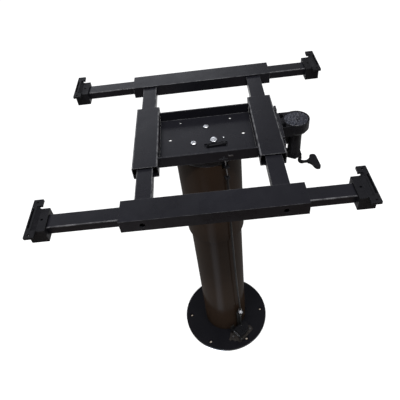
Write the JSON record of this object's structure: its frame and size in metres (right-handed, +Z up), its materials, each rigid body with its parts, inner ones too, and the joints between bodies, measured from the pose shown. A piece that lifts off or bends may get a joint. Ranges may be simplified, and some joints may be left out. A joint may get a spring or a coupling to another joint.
{
  "type": "sculpting turntable stand",
  "caption": "floor-flanged telescoping pedestal with a foot pedal, a swivelling tray head and box-section slides that extend front, back and sideways to end brackets for a work board",
  "frame": {"origin": "centre of the floor flange's underside, on the floor", "axes": "+Z up along the column; +X to the right along the cross rails, towards the slide clamp; +Y to the back along the leg rails"},
  "size_m": [0.602, 0.5165, 0.776],
  "materials": {
    "frame_paint": "semi-gloss black powder coat",
    "column_paint": "gloss black enamel",
    "casting_paint": "black paint over a rough casting",
    "pedal_casting": "black paint over a casting, scuffed near the floor",
    "flange_paint": "semi-gloss black powder coat",
    "guide_plastic": "matt black sliding bush",
    "zinc": "bright zinc plate",
    "steel": "plain turned steel",
    "dial": "grey grained plastic",
    "cable": "black cable sheath"
  },
  "bodies": {
    "pedestal": {"base_flange": "flange_paint", "lower_tube": "column_paint", "lower_tube_guide": "guide_plastic", "gas_spring_cylinder": "column_paint", "pedal_bracket": "pedal_casting", "bracket_screw_1": "steel", "bracket_screw_2": "steel", "pedal_hinge_rod": "steel", "pedal_spring": "steel", "cable_fitting": "zinc", "control_cable": "cable"},
    "pedal": {"pedal": "casting_paint"},
    "pedal_wire": {"pedal_wire": "steel"},
    "upper_column": {"upper_tube": "column_paint", "upper_tube_guide": "guide_plastic", "lift_plate": "steel", "head_ring": "frame_paint", "swivel_lower_ring": "steel", "swivel_ball_cage": "guide_plastic", "gas_spring_rod": "steel", "release_bracket": "steel", "cable_clamp": "casting_paint"},
    "release_lever": {"release_lever": "casting_paint", "release_pull_wire": "steel"},
    "turntable": {"swivel_upper_plate": "frame_paint", "tray": "frame_paint", "tray_screw_1": "zinc", "tray_screw_2": "zinc", "tray_screw_3": "zinc", "tray_rivet": "zinc", "latch_spring_clip": "steel", "left_side_sleeve": "frame_paint", "right_side_sleeve": "frame_paint", "left_front_leg_bush": "guide_plastic", "left_rear_leg_bush": "guide_plastic", "right_front_leg_bush": "guide_plastic", "right_rear_leg_bush": "guide_plastic", "clamp_mount_plate": "frame_paint", "clamp_housing": "casting_paint", "clamp_barrel": "casting_paint", "clamp_collar": "casting_paint"},
    "latch": {"latch_lever": "casting_paint"},
    "carriage": {"front_cross_sleeve": "frame_paint", "rear_cross_sleeve": "frame_paint", "left_leg_rail": "frame_paint", "right_leg_rail": "frame_paint", "front_left_arm_bush": "guide_plastic", "front_right_arm_bush": "guide_plastic", "rear_left_arm_bush": "guide_plastic", "rear_right_arm_bush": "guide_plastic"},
    "front_arm": {"front_rail": "frame_paint", "front_left_bracket": "casting_paint", "front_right_bracket": "casting_paint"},
    "rear_arm": {"rear_rail": "frame_paint", "rear_left_bracket": "casting_paint", "rear_right_bracket": "casting_paint"},
    "clamp_shaft": {"clamp_dial": "dial", "clamp_spindle": "steel", "clamp_crank": "casting_paint"},
    "clamp_rod": {"clamp_rod": "steel"}
  },
  "joints": [
    {"name": "lift", "type": "slide", "parent": "pedestal", "child": "upper_column", "axis": [0, 0, 1], "range_m": [-0.12, 0], "deforming": ["control_cable"]},
    {"name": "pedal_press", "type": "hinge", "parent": "pedestal", "child": "pedal", "pos_m": [0.02781, -0.09174, 0.03], "axis": [-0.6018, 0.7986, 0], "range_deg": [0, 10], "stiffness_Nm_per_rad": 0.6, "springref_deg": -20.05},
    {"name": "wire_pull", "type": "slide", "parent": "pedestal", "child": "pedal_wire", "axis": [0, 0, -1], "range_m": [0, 0.006]},
    {"name": "release", "type": "hinge", "parent": "upper_column", "child": "release_lever", "pos_m": [-0.01254, 0.02504, 0.723], "axis": [0.8942, 0.4478, 0], "range_deg": [0, 3]},
    {"name": "swivel", "type": "hinge", "parent": "upper_column", "child": "turntable", "pos_m": [0, 0, 0.74], "axis": [0, 0, 1], "continuous": true},
    {"name": "latch_swing", "type": "hinge", "parent": "turntable", "child": "latch", "pos_m": [0.035, -0.0255, 0.745], "axis": [0, 0, -1], "range_deg": [0, 9]},
    {"name": "depth_slide", "type": "slide", "parent": "turntable", "child": "carriage", "axis": [0, 1, 0], "range_m": [-0.09, 0.082]},
    {"name": "front_width_slide", "type": "slide", "parent": "carriage", "child": "front_arm", "axis": [1, 0, 0], "range_m": [-0.078, 0.125]},
    {"name": "rear_width_slide", "type": "slide", "parent": "carriage", "child": "rear_arm", "axis": [1, 0, 0], "range_m": [-0.083, 0.11]},
    {"name": "clamp_turn", "type": "hinge", "parent": "turntable", "child": "clamp_shaft", "pos_m": [0.1874, 0.002, 0.757], "axis": [0, 0, 1], "range_deg": [0, 90]},
    {"name": "clamp_push", "type": "slide", "parent": "turntable", "child": "clamp_rod", "axis": [-1, 0, 0], "range_m": [0, 0.001]}
  ],
  "couplings": [
    {"joint": "wire_pull", "follows": "pedal_press", "m_per_rad": 0.0297},
    {"joint": "release", "follows": "pedal_press", "ratio": 0.2789},
    {"joint": "clamp_push", "follows": "clamp_turn", "m_per_rad": 0.000636}
  ]
}
